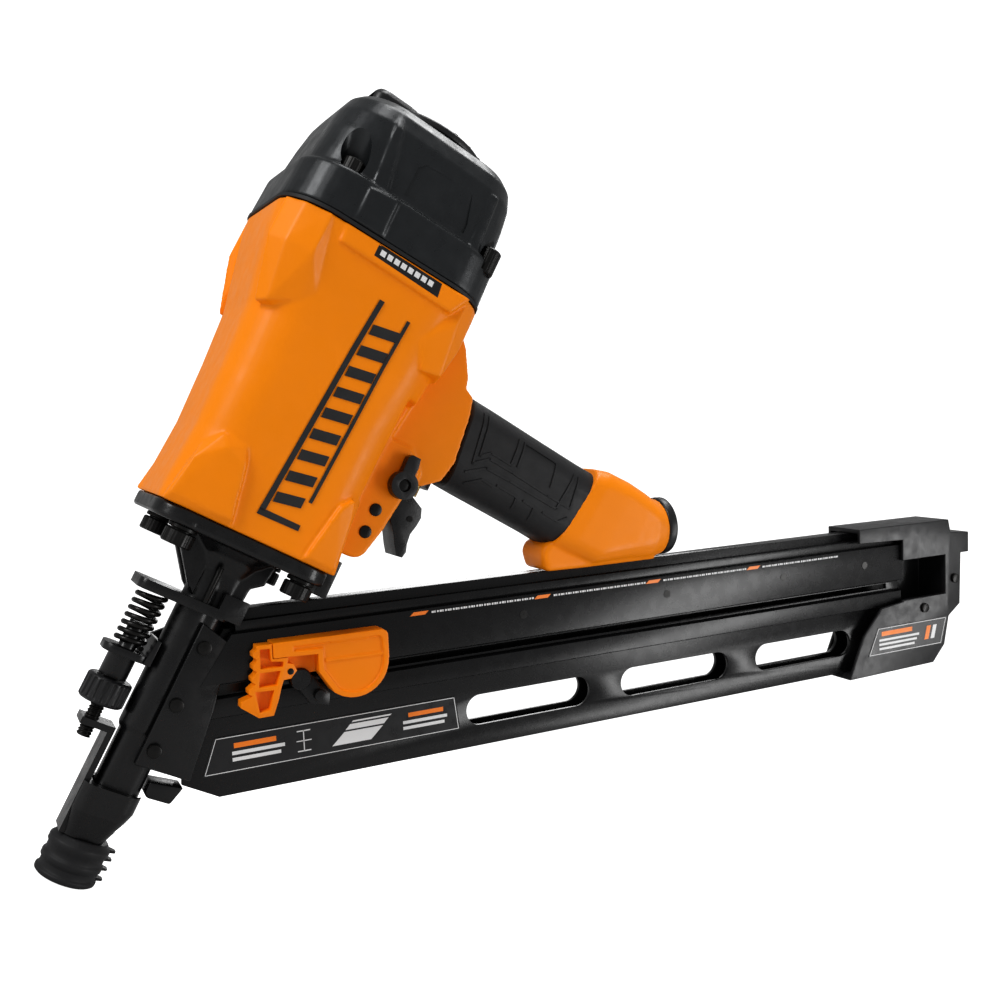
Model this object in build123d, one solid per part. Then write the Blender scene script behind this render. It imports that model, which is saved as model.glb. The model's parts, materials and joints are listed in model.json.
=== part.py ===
from build123d import *
from math import cos, sin, radians
import os

# Pneumatic framing nailer, millimetres. +Z runs up the driver axis, away from the work,
# +X runs from the driver axis towards the handle's rear, and the origin is the centre of
# the no-mar tip's face. Magazine pieces are drawn in (u, y, w): u along the magazine,
# w square to it, and are then tilted into place.

os.makedirs("parts", exist_ok=True)

# ---- driving dimensions ----
magazine_tilt = 30.0
magazine_foot_z = 28.0
tip_radius = 14.0
tip_height = 20.0
flange_low_z = 162.0
flange_top_z = 169.0
flange_half_x = 42.0
flange_half_y = 37.0
seam_z = 309.5
gasket_thick = 1.6
cap_band_top_z = 332.0
cap_top_z = 379.0
deflector_x = 2.0
bore_radius = 27.0
sleeve_radius = 30.0
sleeve_low_z = 177.0
sleeve_top_z = 302.0
piston_low_z = 290.0
piston_top_z = 301.0
bumper_top_z = 189.0
driver_radius = 3.4
driver_tip_z = 114.0
running_gap = 0.05
handle_z = 256.0
grip_start_x = 80.0
grip_end_x = 163.0
cheek_out_y = 20.0
cheek_in_y = 13.2
trigger_x = 58.0
trigger_z = 222.0
valve_x = 72.5
rod_x = -20.0
barrel_low_z = 40.0
wheel_low_z = 76.0
wheel_top_z = 88.0
wheel_radius = 10.4
spring_seat_z = 130.0
plate_inner_y = 4.6
plate_outer_y = 6.8
band_y = 9.5
rail_y = 11.2
plate_start_u = 34.0
plate_end_u = 484.0
rail_low_w = 54.0
plate_top_w = 76.0
rail_top_w = 86.0
slot_first_u = 182.0
slot_pitch = 93.8
slot_length = 73.8
slot_low_w = 10.7
slot_high_w = 26.7
rivet_head = 0.15
rivet_places = (215, 305, 388, 452)
end_cap_y = 13.4
inlet_w = 103.0
handle_end_u = 305.0
inlet_face_u = 311.0
inlet_thread_radius = 7.35
inlet_length = 12.0
bushing_radius = 11.0


def save(name, solid):
    solid.label = name
    export_step(solid, "parts/" + name + ".step")


def rounded(x_low, x_high, y_half, z, corner):
    return Pos((x_low + x_high) / 2, 0, z) * RectangleRounded(x_high - x_low, 2 * y_half, corner)


def slab(x_low, x_high, y_half, z_low, z_high, corner):
    return extrude(rounded(x_low, x_high, y_half, z_low, corner), z_high - z_low)


def loft_levels(levels):
    return loft([rounded(*level) for level in levels], ruled=True)


def rod(x, y, z_low, z_high, radius):
    return Pos(x, y, (z_low + z_high) / 2) * Cylinder(radius, z_high - z_low)


def cross_rod(x, z, y_low, y_high, radius):
    return Pos(x, (y_low + y_high) / 2, z) * Rot(90, 0, 0) * Cylinder(radius, y_high - y_low)


def block(x_low, x_high, y_low, y_high, z_low, z_high):
    centre = ((x_low + x_high) / 2, (y_low + y_high) / 2, (z_low + z_high) / 2)
    return Pos(*centre) * Box(x_high - x_low, y_high - y_low, z_high - z_low)


def profile_xz(points, y_low, y_high):
    face = make_face(Plane.XZ * Polyline(points, close=True))
    return Pos(0, y_high, 0) * extrude(face, y_high - y_low, dir=(0, -1, 0))


def tilt(solid):
    return Pos(0, 0, magazine_foot_z) * Rot(0, -magazine_tilt, 0) * solid


def along_magazine(u_low, u_high, radius):
    return Pos((u_low + u_high) / 2, 0, inlet_w) * Rot(0, 90, 0) * Cylinder(radius, u_high - u_low)


def from_magazine(u, w):
    a = radians(magazine_tilt)
    return u * cos(a) - w * sin(a), magazine_foot_z + u * sin(a) + w * cos(a)


def coil(x, y, z_low, z_high, radius, wire, turns):
    path = Helix(pitch=(z_high - z_low - 2 * wire) / turns, height=z_high - z_low - 2 * wire, radius=radius)
    section = Plane(origin=path @ 0, z_dir=path % 0) * Circle(wire)
    return Pos(x, y, z_low + wire) * sweep(section, path=path)


# ---- housing ----
cap_bolt_places = [(-33, -40), (-33, 40), (42, -40), (42, 40)]
flange_bolt_places = [(-27, -29), (-27, 29), (31, -28), (31, 28)]


def flange_bolt_holes():
    return [rod(x, y, flange_low_z - 2, 190, 4.05) for x, y in flange_bolt_places]


def rear_handle():
    top_x, top_z = from_magazine(handle_end_u, 116)
    low_x, low_z = from_magazine(handle_end_u, rail_top_w)
    toe_x, toe_z = from_magazine(248, rail_top_w)
    points = [(grip_end_x - 8, 233), (toe_x, toe_z), (low_x, low_z), (top_x, top_z), (grip_end_x + 2, 281),
              (grip_end_x, 281), (grip_end_x, 245), (grip_end_x - 8, 240)]
    return profile_xz(points, -19, 19)


def main_housing():
    outer = loft_levels([(-42, 43, 37.5, flange_top_z, 14), (-42, 44, 38, 180, 14), (-41, 46, 40, 205, 16),
                         (-45, 49, 44, 262, 20), (-52, 51, 48.5, 281, 24), (-54, 52, 49.5, seam_z, 24)])
    handle_root = profile_xz([(30, 230), (62, 230), (70, 234), (grip_start_x, 234), (grip_start_x, 280),
                              (70, 283), (56, 302), (30, 302)], -18, 18)
    core = Pos(grip_start_x - 4, 0, handle_z) * Rot(0, 90, 0) * RectangleRounded(38, 26, 11)
    core = extrude(core, grip_end_x - grip_start_x + 6)
    cheeks = profile_xz([(36, 181), (50, 181), (57, 187), (60, 199), (62, 214), (66, 231), (36, 231)],
                        -cheek_out_y, cheek_out_y)
    body = outer + handle_root + core + cheeks + rear_handle()
    body -= rod(0, 0, sleeve_low_z, 235, 33)
    body -= rod(0, 0, 234, seam_z + 1, 38)
    body -= rod(0, 0, flange_top_z - 1, sleeve_low_z + 1, 12)
    body -= block(42.5, 70, -cheek_in_y, cheek_in_y, 170, 230)
    for side in (-1, 1):
        low, high = sorted((side * (cheek_out_y + 0.3), side * 60))
        body -= block(38.5, 70, low, high, 204, 262)
    body -= Pos(110, 0, handle_z) * Rot(0, 90, 0) * Cylinder(9, 156)
    body -= tilt(Pos(290, 0, inlet_w) * Rot(0, 90, 0) * Cylinder(8.5, 60))
    body -= tilt(along_magazine(inlet_face_u - inlet_length, handle_end_u + 1, bushing_radius))
    body -= rod(valve_x, 0, 226, 262, 7)
    body -= cross_rod(trigger_x, trigger_z, -30, 30, 3 + running_gap)
    for pin_x, pin_z in ((52, 206), (52, 194.5)):
        body -= cross_rod(pin_x, pin_z, -30, 30, 3)
    for x, y in cap_bolt_places:
        body -= rod(x, y, 283, seam_z + 1, 2.5)
    for hole in flange_bolt_holes():
        body -= hole
    for u in (262, 290):
        body -= tilt(rod(u, 0, rail_top_w - 2, rail_top_w + 7, 2.5))
    return body


def cylinder_cap():
    band_low = seam_z + gasket_thick
    band = slab(-54, 52, 49.5, band_low, cap_band_top_z, 24)
    dome = loft_levels([(-51, 50, 46, cap_band_top_z, 30), (-49, 49, 44, 352, 30), (-45, 47, 41, 366, 28),
                        (-35, 41, 32, cap_top_z, 24)])
    cap = band + dome
    cap -= rod(0, 0, band_low - 1, 348, 38)
    cap -= rod(0, 0, 347, cap_top_z + 1, 13)
    for x, y in cap_bolt_places:
        cap -= rod(x, y, cap_band_top_z - 1, 400, 6.6)
        cap -= rod(x, y, band_low - 1, cap_band_top_z, 2.5)
    return cap


def cap_gasket():
    ring = slab(-54, 52, 49.5, seam_z, seam_z + gasket_thick, 24) - rod(0, 0, seam_z - 1, seam_z + 3, 38)
    for x, y in cap_bolt_places:
        ring -= rod(x, y, seam_z - 1, seam_z + 3, 2.5)
    return ring


def socket_screw(x, y, head_low, head_high, head_radius, tail_z, shank_radius, socket_up):
    low, high = min(head_low, tail_z), max(head_high, tail_z)
    screw = rod(x, y, head_low, head_high, head_radius) + rod(x, y, low, high, shank_radius)
    deep = head_high - 3 if socket_up else head_low
    socket = Pos(x, y, deep) * RegularPolygon(head_radius * 0.5, 6)
    return screw - extrude(socket, 3)


def cap_bolts():
    return Compound([socket_screw(x, y, cap_band_top_z - 1, cap_band_top_z + 6, 5.4, 285, 2.5, True)
                     for x, y in cap_bolt_places])


def flange_bolts():
    return Compound([socket_screw(x, y, 153, flange_low_z, 7, 188, 4, False) for x, y in flange_bolt_places])


# ---- drive train ----
def cylinder_sleeve():
    sleeve = rod(0, 0, sleeve_low_z, sleeve_top_z, sleeve_radius)
    sleeve += rod(0, 0, 228, 233, 32.5)
    return sleeve - rod(0, 0, sleeve_low_z - 1, sleeve_top_z + 1, bore_radius)


def bumper():
    return rod(0, 0, sleeve_low_z, bumper_top_z, bore_radius - 1) - rod(0, 0, 150, 200, driver_radius + 1.2)


def piston():
    body = rod(0, 0, piston_low_z, piston_top_z, bore_radius - 0.07)
    return body - (rod(0, 0, 294, 297, 40) - rod(0, 0, 293, 298, bore_radius - 3))


def piston_ring():
    return rod(0, 0, 294, 297, bore_radius - 0.07) - rod(0, 0, 293, 298, bore_radius - 3)


def head_valve():
    valve = rod(0, 0, sleeve_top_z + 2, 322, 33) - rod(0, 0, 308, 330, 24)
    return valve - rod(0, 0, 290, 330, 11)


# ---- nose ----
def nose_casting():
    flange = slab(-flange_half_x, flange_half_x, flange_half_y, flange_low_z, flange_top_z, 12)
    base = loft_levels([(-7, 14, 8.4, 139, 5), (-16, 19, 10.2, 152, 8), (-27, 24, 20, flange_low_z, 12)])
    front_rib = profile_xz([(-7, 135), (-14, 154), (-7, 154)], -3, 3)
    rear_rib = profile_xz([(13, 141), (16.5, 141), (22, 162), (13, 162)], -3, 3)
    barrel = slab(-7, 14, 8.4, barrel_low_z, 141, 6)
    nose = flange + base + front_rib + rear_rib + barrel
    nose -= rod(0, 0, 20, 175, 4.3)
    nose -= block(0, 20, -4.3, 4.3, barrel_low_z + 5, 122)
    for hole in flange_bolt_holes():
        nose -= hole
    return nose


def spring_seat_plate():
    plate = slab(-30, 14, 13.2, spring_seat_z, spring_seat_z + 4.5, 5)
    plate += block(7, 19, -13.2, -9.4, spring_seat_z + 1, 142)
    plate += block(7, 19, 9.4, 13.2, spring_seat_z + 1, 142)
    return plate - slab(-7, 14, 8.4, 120, 150, 6) - block(6, 30, -9.4, 9.4, 120, 150)


def guide_pin():
    return rod(0, -11.8, spring_seat_z + 4.5, 152, 1.3)


def nose_clamp(side):
    outline = [(4, 57.5), (30.5, 58.5), (26, 92), (19.5, 122), (4, 126)]
    low, high = (8.4, 11.0) if side > 0 else (-11.0, -8.4)
    return profile_xz(outline, low, high)


def clamp_screws():
    places = [(9, 66), (9, 88), (9, 116)]
    near = [cross_rod(x, z, -13.4, -11.0, 3.2) for x, z in places]
    far = [cross_rod(x, z, 11.0, 13.4, 3.2) for x, z in places]
    return Compound(near + far)


def front_block():
    return profile_xz([(15, 46), (17, 44.5), (28, 45), (30.5, 54), (15, 51.8)], -6.5, 6.5)


# ---- magazine ----
def slotted(plate, y_low, y_high):
    mid_w = (slot_low_w + slot_high_w) / 2
    radius = (slot_high_w - slot_low_w) / 2
    for i in range(3):
        left = slot_first_u + i * slot_pitch + radius
        right = left + slot_length - 2 * radius
        plate -= block(left, right, y_low, y_high, slot_low_w, slot_high_w)
        plate -= cross_rod(left, mid_w, y_low, y_high, radius)
        plate -= cross_rod(right, mid_w, y_low, y_high, radius)
    return plate


def side_plate(side, with_slot):
    section = [(plate_inner_y, 0), (plate_outer_y, 0), (plate_outer_y, 37), (band_y, 38), (band_y, 46.5),
               (plate_outer_y, 47.5), (plate_outer_y, 52.5), (rail_y, rail_low_w), (rail_y, plate_top_w),
               (plate_inner_y, plate_top_w)]
    face = make_face(Plane.YZ * Polyline([(side * y, w) for y, w in section], close=True))
    plate = Pos(plate_start_u, 0, 0) * extrude(face, plate_end_u - plate_start_u, dir=(1, 0, 0))
    plate = slotted(plate, -14, 14)
    front_cut = profile_xz([(20, -5), (56, -5), (55, 0), (38.5, 9), (40.5, 37), (44, 47), (64.5, 76), (64.5, 90),
                            (20, 90)], -20, 20)
    plate -= front_cut
    if with_slot:
        plate -= block(72, 474, -20, 0, 48.6, 51.8)
    return tilt(plate) - nose_clamp(side)


def base_rail():
    return tilt(block(57, plate_end_u, -plate_inner_y, plate_inner_y, 0, 3))


def top_rail():
    rail = block(67, 480, -8.5, 8.5, plate_top_w, 81) + block(67, 480, -4.5, 4.5, 81, rail_top_w)
    for u in (262, 290):
        rail -= rod(u, 0, 70, 90, 2.5)
    return tilt(rail)


def foot_screws():
    screws = [rod(u, 0, 76, rail_top_w + 6, 2.5) + rod(u, 0, 73.5, 76, 4) for u in (262, 290)]
    return Compound([tilt(s) for s in screws])


def rivets():
    near = [cross_rod(u, 66, -rail_y - rivet_head, -rail_y, 2.2) for u in rivet_places]
    far = [cross_rod(u, 66, rail_y, rail_y + rivet_head, 2.2) for u in rivet_places]
    return Compound([tilt(r) for r in near + far])


def magazine_end_cap():
    outline = [(437, -3.5), (508, -2.5), (518, 8), (522, 26), (532, 33), (533, 66), (540, 66), (540, 79),
               (524, 80), (522, 88.5), (446, 88.8), (446, 80), (482, 79), (482, 40), (464, 38), (449, 22)]
    cap = profile_xz(outline, -end_cap_y, end_cap_y)
    cap -= block(430, 486, -rail_y, rail_y, 0, rail_top_w)
    cap -= block(480, 520, -9.5, 9.5, 4, 74)
    cap -= block(480, 519, -20, 0, 41, 66)
    return tilt(cap)


def end_cap_screws():
    return Compound([tilt(cross_rod(u, w, y, y + 1.6, 3)) for u, w in ((500, 34), (527, 50))
                     for y in (-end_cap_y - 1.6, end_cap_y)])


def label_panel(points, y_face, side):
    low, high = (y_face, y_face + 0.3) if side > 0 else (-y_face - 0.3, -y_face)
    return tilt(profile_xz(points, low, high))


# ---- pusher ----
def pusher_housing():
    outline = [(76, 72), (134, 71.5), (136.5, 68), (136.5, 57), (133, 48), (126, 43), (118, 41.5), (108, 44),
               (101, 55), (101, 63.7), (76, 64)]
    body = profile_xz(outline, -22.5, -rail_y - 0.5)
    hinge_lug = profile_xz([(80, 64), (101, 64), (101, 54), (90, 54), (84, 58)], -15.2, -rail_y - 0.5)
    body = body + hinge_lug - cross_rod(117, 56, -21, -5, 10.5)
    return tilt(body - cross_rod(88, 57.5, -30, -5, 1.5))


def thumb_latch():
    outline = [(66, 68), (74, 69), (75, 62.8), (87, 61), (91, 57.5), (88, 54), (83, 50), (81.5, 38.5), (72, 38.5),
               (65.5, 50)]
    latch = profile_xz(outline, -22, -15.6) - cross_rod(88, 57.5, -30, -5, 1.5 + running_gap)
    return tilt(latch)


def latch_pin():
    return tilt(cross_rod(88, 57.5, -22.4, -rail_y - 0.5, 1.5))


def pusher_blade():
    stem = block(86, 112, -rail_y - 0.3, -3.5, 49, 51.4)
    foot = profile_xz([(86, 49), (96, 49), (108, 69), (98, 69)], -3.5, 3.5)
    toe = profile_xz([(64, 8), (74, 8), (98, 50), (88, 50)], -3.5, 3.5)
    return tilt(stem + foot + toe)


def spring_coil():
    return tilt(cross_rod(117, 56, -20.5, -13, 9.5) - cross_rod(117, 56, -25, -10, 5))


# ---- safety ----
def safety_bracket():
    plate = slab(-30.5, -9, 9, 99, 102.5, 6)
    hub = rod(rod_x, 0, 88.4, 99, 6.4) - rod(rod_x, 0, 80, 99.2, 3.8)
    guide = rod(rod_x, 0, 102.5, 115, 4)
    lug = profile_xz([(-12, 99), (-8.6, 99), (-8.6, 111), (-10.6, 111)], -9, 13.6)
    strap = profile_xz([(-12, 99), (-5, 99), (14, 118), (41, 139), (51, 144), (51, 164), (44.5, 164),
                        (44.5, 149), (34, 144), (6, 126), (-12, 109)], 13.6, 16.2)
    finger = block(44.5, 51, -12.6, 16.2, 158, 164) + block(44.5, 51, -12.6, 12.6, 164, 177)
    strap += finger
    return plate + hub + guide + lug + strap


def depth_wheel():
    wheel = rod(rod_x, 0, wheel_low_z, wheel_top_z, wheel_radius)
    wheel = chamfer(wheel.edges().filter_by(GeomType.CIRCLE), 1.0)
    for i in range(20):
        groove = Pos(wheel_radius, 0, (wheel_low_z + wheel_top_z) / 2) * Cylinder(0.7, 20)
        wheel -= Pos(rod_x, 0, 0) * Rot(0, 0, 18 * i) * groove
    return wheel - rod(rod_x, 0, 70, 95, 3.4 + running_gap)


def adjust_rod():
    return rod(rod_x, 0, 60, 96, 3.4)


def contact_arm():
    strip = block(-12.4, -9.6, -7, 7, 20, 68)
    tab = block(-25, -9.6, -7, 7, 66, 69) - rod(rod_x, 0, 60, 75, 3.4)
    sleeve = loft_levels([(-10.5, 8, 9.5, 20, 5), (-12.4, 13, 12.4, 32, 7), (-12.4, 14.5, 12.4, 36, 7),
                          (-12.4, 14.5, 12.4, 44, 7)])
    sleeve -= slab(-7.6, 14.9, 9.0, 26.5, 60, 6)
    sleeve -= rod(0, 0, 10, 40, 5)
    return strip + tab + sleeve


def no_mar_tip():
    tip = rod(0, 0, 0, tip_height, tip_radius - 0.8)
    for z in (0, 7.5, 14.5):
        tip += rod(0, 0, z, z + 3.2, tip_radius)
    for z in (3, 8, 12.5, 16.5):
        tip += Pos(tip_radius, 0, z) * Box(5, 7, 2.2)
    return tip - rod(0, 0, -1, 30, 5.2)


# ---- trigger and valves ----
def trigger():
    outline = [(51, 223), (55, 228.5), (62, 229), (70, 221.5), (78, 217.9), (79.8, 213.5), (79.4, 209),
               (78.2, 204), (78.8, 199), (80.2, 195), (79.5, 191.8), (76.5, 191.3), (73.6, 195), (70, 200.5),
               (65.5, 206), (62.5, 211), (60, 215.5), (53, 218)]
    shape = profile_xz(outline, -8, 8)
    return shape - cross_rod(trigger_x, trigger_z, -20, 20, 3 + running_gap)


def selector_lever():
    drum = cross_rod(trigger_x, trigger_z, -26, -cheek_out_y - 0.3, 6.8)
    arm = profile_xz([(54.2, 224), (60.6, 224), (60.8, 232.5), (59.8, 236.8), (55.5, 236.8), (53.9, 235)],
                     -25.5, -cheek_out_y - 0.3)
    return drum + arm - cross_rod(trigger_x, trigger_z, -30, -10, 3)


def trigger_valve_body():
    return rod(valve_x, 0, 228, 262, 7) - rod(valve_x, 0, 220, 270, 3)


def exhaust_deflector():
    disc = rod(deflector_x, 0, cap_top_z + 0.3, cap_top_z + 6, 31)
    hood = slab(-34, -8, 14, cap_top_z + 0.3, cap_top_z + 10, 5)
    mouth = block(-40, -14, -10, 10, cap_top_z + 2.5, cap_top_z + 8)
    return disc + hood - mouth - rod(deflector_x, 0, 370, 400, 3.2)


def deflector_screw():
    shank = rod(deflector_x, 0, 366, cap_top_z + 6.3, 3.15)
    return shank + rod(deflector_x, 0, cap_top_z + 6.3, cap_top_z + 9, 6)


def end_parts():
    shell = along_magazine(handle_end_u, inlet_face_u, 16)
    shell -= along_magazine(handle_end_u - 1, inlet_face_u + 1, bushing_radius)
    bushing = along_magazine(inlet_face_u - inlet_length, inlet_face_u, bushing_radius)
    bushing -= along_magazine(280, inlet_face_u + 1, inlet_thread_radius)
    return tilt(shell), tilt(bushing)


def grip():
    outer = Pos(grip_start_x, 0, handle_z + 0.5) * Rot(0, 90, 0) * RectangleRounded(47, 35, 15)
    inner = Pos(grip_start_x - 1, 0, handle_z) * Rot(0, 90, 0) * RectangleRounded(38, 26, 11)
    sleeve = extrude(outer, grip_end_x - grip_start_x) - extrude(inner, grip_end_x - grip_start_x + 2)
    return sleeve - rear_handle()


def write_all():
    save("main_housing", main_housing())
    save("cylinder_cap", cylinder_cap())
    save("cap_gasket", cap_gasket())
    save("cap_bolts", cap_bolts())
    save("flange_bolts", flange_bolts())
    save("cylinder_sleeve", cylinder_sleeve())
    save("bumper", bumper())
    save("piston", piston())
    save("piston_ring", piston_ring())
    save("driver_blade", rod(0, 0, driver_tip_z, piston_low_z, driver_radius))
    save("head_valve", head_valve())
    save("head_valve_spring", coil(0, 0, 322.5, 346, 27, 1.4, 4))
    save("nose_casting", nose_casting())
    save("spring_seat_plate", spring_seat_plate())
    save("guide_pin", guide_pin())
    save("nose_clamp_near", nose_clamp(-1))
    save("nose_clamp_far", nose_clamp(1))
    save("clamp_screws", clamp_screws())
    save("front_block", front_block())
    save("magazine_near_plate", side_plate(-1, True))
    save("magazine_far_plate", side_plate(1, False))
    save("magazine_base_rail", base_rail())
    save("magazine_top_rail", top_rail())
    save("foot_screws", foot_screws())
    save("magazine_rivets", rivets())
    save("magazine_end_cap", magazine_end_cap())
    save("end_cap_screws", end_cap_screws())
    save("magazine_label", label_panel([(48, 10.5), (178, 10.5), (176, 28), (54, 28)], plate_outer_y, -1))
    save("end_cap_label", label_panel([(452, 9), (515, 9), (520, 26), (460, 26)], end_cap_y, -1))
    save("pusher_housing", pusher_housing())
    save("thumb_latch", thumb_latch())
    save("latch_pin", latch_pin())
    save("pusher_blade", pusher_blade())
    save("pusher_spring_coil", spring_coil())
    save("safety_bracket", safety_bracket())
    save("safety_spring", coil(rod_x, 0, 102.8, 129.7, 6.6, 0.95, 8))
    save("depth_wheel", depth_wheel())
    save("adjust_rod", adjust_rod())
    save("contact_arm", contact_arm())
    save("no_mar_tip", no_mar_tip())
    save("trigger", trigger())
    save("selector_lever", selector_lever())
    save("trigger_pivot", cross_rod(trigger_x, trigger_z, -25, 19.5, 3))
    save("cheek_pins", Compound([cross_rod(x, z, -20.8, 20.8, 3) for x, z in ((52, 206), (52, 194.5))]))
    save("trigger_valve_body", trigger_valve_body())
    save("trigger_plunger", rod(valve_x, 0, 222.4, 252, 3 - running_gap))
    save("trigger_valve_spring", coil(valve_x, 0, 252.2, 262, 2.2, 0.35, 6))
    save("exhaust_deflector", exhaust_deflector())
    save("deflector_screw", deflector_screw())
    shell, bushing = end_parts()
    save("handle_end_cap", shell)
    save("air_inlet_bushing", bushing)
    save("handle_grip", grip())


write_all()
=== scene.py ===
"""Looks of the pneumatic framing nailer: detailed meshes, procedural materials, light and camera."""
import json
import math

import bmesh
import bpy
from mathutils import Matrix, Vector
from mathutils.bvhtree import BVHTree


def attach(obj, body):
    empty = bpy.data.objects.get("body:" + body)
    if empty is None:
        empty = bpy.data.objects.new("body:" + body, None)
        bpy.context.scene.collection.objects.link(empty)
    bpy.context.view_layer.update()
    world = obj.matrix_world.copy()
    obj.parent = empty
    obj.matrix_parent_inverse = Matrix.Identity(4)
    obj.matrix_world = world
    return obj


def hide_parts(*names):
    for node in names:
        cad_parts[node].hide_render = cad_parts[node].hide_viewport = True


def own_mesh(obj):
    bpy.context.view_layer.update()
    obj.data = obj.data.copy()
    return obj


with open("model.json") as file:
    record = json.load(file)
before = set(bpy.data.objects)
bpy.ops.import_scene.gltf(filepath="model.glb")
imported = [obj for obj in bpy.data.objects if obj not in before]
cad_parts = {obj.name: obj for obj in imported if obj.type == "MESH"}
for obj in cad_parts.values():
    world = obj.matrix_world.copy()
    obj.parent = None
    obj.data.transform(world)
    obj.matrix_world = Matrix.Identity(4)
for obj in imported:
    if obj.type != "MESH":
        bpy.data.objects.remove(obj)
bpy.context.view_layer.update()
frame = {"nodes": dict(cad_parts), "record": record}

MM = 0.001
MAGAZINE_TILT = math.radians(30)
MAGAZINE_FOOT_Z = 28.0
FLANGE_TOP_Z = 169.2
SEAM_Z = 309.3
HANDLE_AXIS_Z = 256
ROD_X = -20
NODES = frame["nodes"]


# ---------------------------------------------------------------- mesh helpers (millimetres)
def tilt_point(u, y, w):
    """Magazine place (along, across, square to it) to frame place."""
    c, s = math.cos(MAGAZINE_TILT), math.sin(MAGAZINE_TILT)
    return (u * c - w * s, y, MAGAZINE_FOOT_Z + u * s + w * c)


def make(name, points, faces, tilted=False):
    """A mesh object from points in millimetres, with its faces turned outwards."""
    if tilted:
        points = [tilt_point(*p) for p in points]
    mesh = bpy.data.meshes.new(name)
    mesh.from_pydata([tuple(c * MM for c in p) for p in points], [], faces)
    bm = bmesh.new()
    bm.from_mesh(mesh)
    bmesh.ops.recalc_face_normals(bm, faces=bm.faces)
    bm.to_mesh(mesh)
    bm.free()
    obj = bpy.data.objects.new(name, mesh)
    bpy.context.scene.collection.objects.link(obj)
    return obj


def prism(name, outline, y_low, y_high, tilted=False):
    """An outline in (x, z), or (u, w) when tilted, drawn out along Y."""
    n = len(outline)
    points = [(x, y_low, z) for x, z in outline] + [(x, y_high, z) for x, z in outline]
    faces = [tuple(range(n)), tuple(range(2 * n - 1, n - 1, -1))]
    faces += [(i, (i + 1) % n, n + (i + 1) % n, n + i) for i in range(n)]
    return make(name, points, faces, tilted)


def loft(name, rings, tilted=False, closed=False):
    """Quads between rings with equal counts of points, capped at both ends unless closed."""
    n = len(rings[0])
    points = [p for ring in rings for p in ring]
    faces = []
    count = len(rings)
    for k in range(count if closed else count - 1):
        a, b = k * n, ((k + 1) % count) * n
        faces += [(a + i, a + (i + 1) % n, b + (i + 1) % n, b + i) for i in range(n)]
    if not closed:
        faces += [tuple(range(n)), tuple(range((count - 1) * n, count * n))]
    return make(name, points, faces, tilted)


def rounded_ring(x_low, x_high, y_half, z, corner, steps=10):
    """A rounded rectangle in a level plane."""
    ring = []
    corners = ((x_high - corner, y_half - corner, 0), (x_low + corner, y_half - corner, 90),
               (x_low + corner, corner - y_half, 180), (x_high - corner, corner - y_half, 270))
    for cx, cy, start in corners:
        for i in range(steps + 1):
            a = math.radians(start + 90 * i / steps)
            ring.append((cx + corner * math.cos(a), cy + corner * math.sin(a), z))
    return ring


def turned(name, profile, centre, axis="z", steps=64, tilted=False):
    """A closed turned piece: profile is (radius, height) from one end to the other."""
    rings = []
    for radius, height in profile:
        ring = []
        for i in range(steps):
            a = 2 * math.pi * i / steps
            p, q = radius * math.cos(a), radius * math.sin(a)
            local = {"z": (p, q, height), "y": (p, height, -q), "x": (height, p, q)}[axis]
            ring.append(tuple(centre[k] + local[k] for k in range(3)))
        rings.append(ring)
    return loft(name, rings, tilted)


def arc(cx, cz, radius, start, end, steps=8):
    """Points of an arc in a plane, angles in degrees."""
    angles = [math.radians(start + (end - start) * i / steps) for i in range(steps + 1)]
    return [(cx + radius * math.cos(a), cz + radius * math.sin(a)) for a in angles]


def activate(obj):
    bpy.ops.object.select_all(action="DESELECT")
    obj.select_set(True)
    bpy.context.view_layer.objects.active = obj


def apply_all(obj):
    activate(obj)
    for modifier in list(obj.modifiers):
        bpy.ops.object.modifier_apply(modifier=modifier.name)
    return obj


def bevel(obj, width, segments=3, angle=28):
    modifier = obj.modifiers.new("bevel", "BEVEL")
    modifier.width = width * MM
    modifier.segments = segments
    modifier.limit_method = "ANGLE"
    modifier.angle_limit = math.radians(angle)
    modifier.harden_normals = False
    return apply_all(obj)


def join(name, pieces):
    activate(pieces[0])
    for piece in pieces:
        piece.select_set(True)
    bpy.ops.object.join()
    pieces[0].name = name
    return pieces[0]


def cut(obj, cutters):
    for cutter in cutters:
        modifier = obj.modifiers.new("cut", "BOOLEAN")
        modifier.operation = "DIFFERENCE"
        modifier.solver = "EXACT"
        modifier.object = cutter
        apply_all(obj)
        bpy.data.objects.remove(cutter, do_unlink=True)
    return obj


def cast(obj, voxel, rounds, keep=1.0):
    """Fuses overlapping solids into one skin with soft cast fillets."""
    modifier = obj.modifiers.new("remesh", "REMESH")
    modifier.mode = "VOXEL"
    modifier.voxel_size = voxel * MM
    apply_all(obj)
    modifier = obj.modifiers.new("smooth", "SMOOTH")
    modifier.factor = 0.5
    modifier.iterations = rounds
    apply_all(obj)
    if keep < 1.0:
        modifier = obj.modifiers.new("thin", "DECIMATE")
        modifier.ratio = keep
        apply_all(obj)
    return obj


def shade(obj, angle=35):
    activate(obj)
    bpy.ops.object.shade_smooth_by_angle(angle=math.radians(angle))
    return obj


def finish_piece(obj, material, body, nodes=(), angle=35):
    """Material, slot, body and the CAD nodes that a piece stands for."""
    obj.data.materials.clear()
    obj.data.materials.append(material)
    shade(obj, angle)
    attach(obj, body)
    if nodes:
        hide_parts(*nodes)
    return obj


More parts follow.
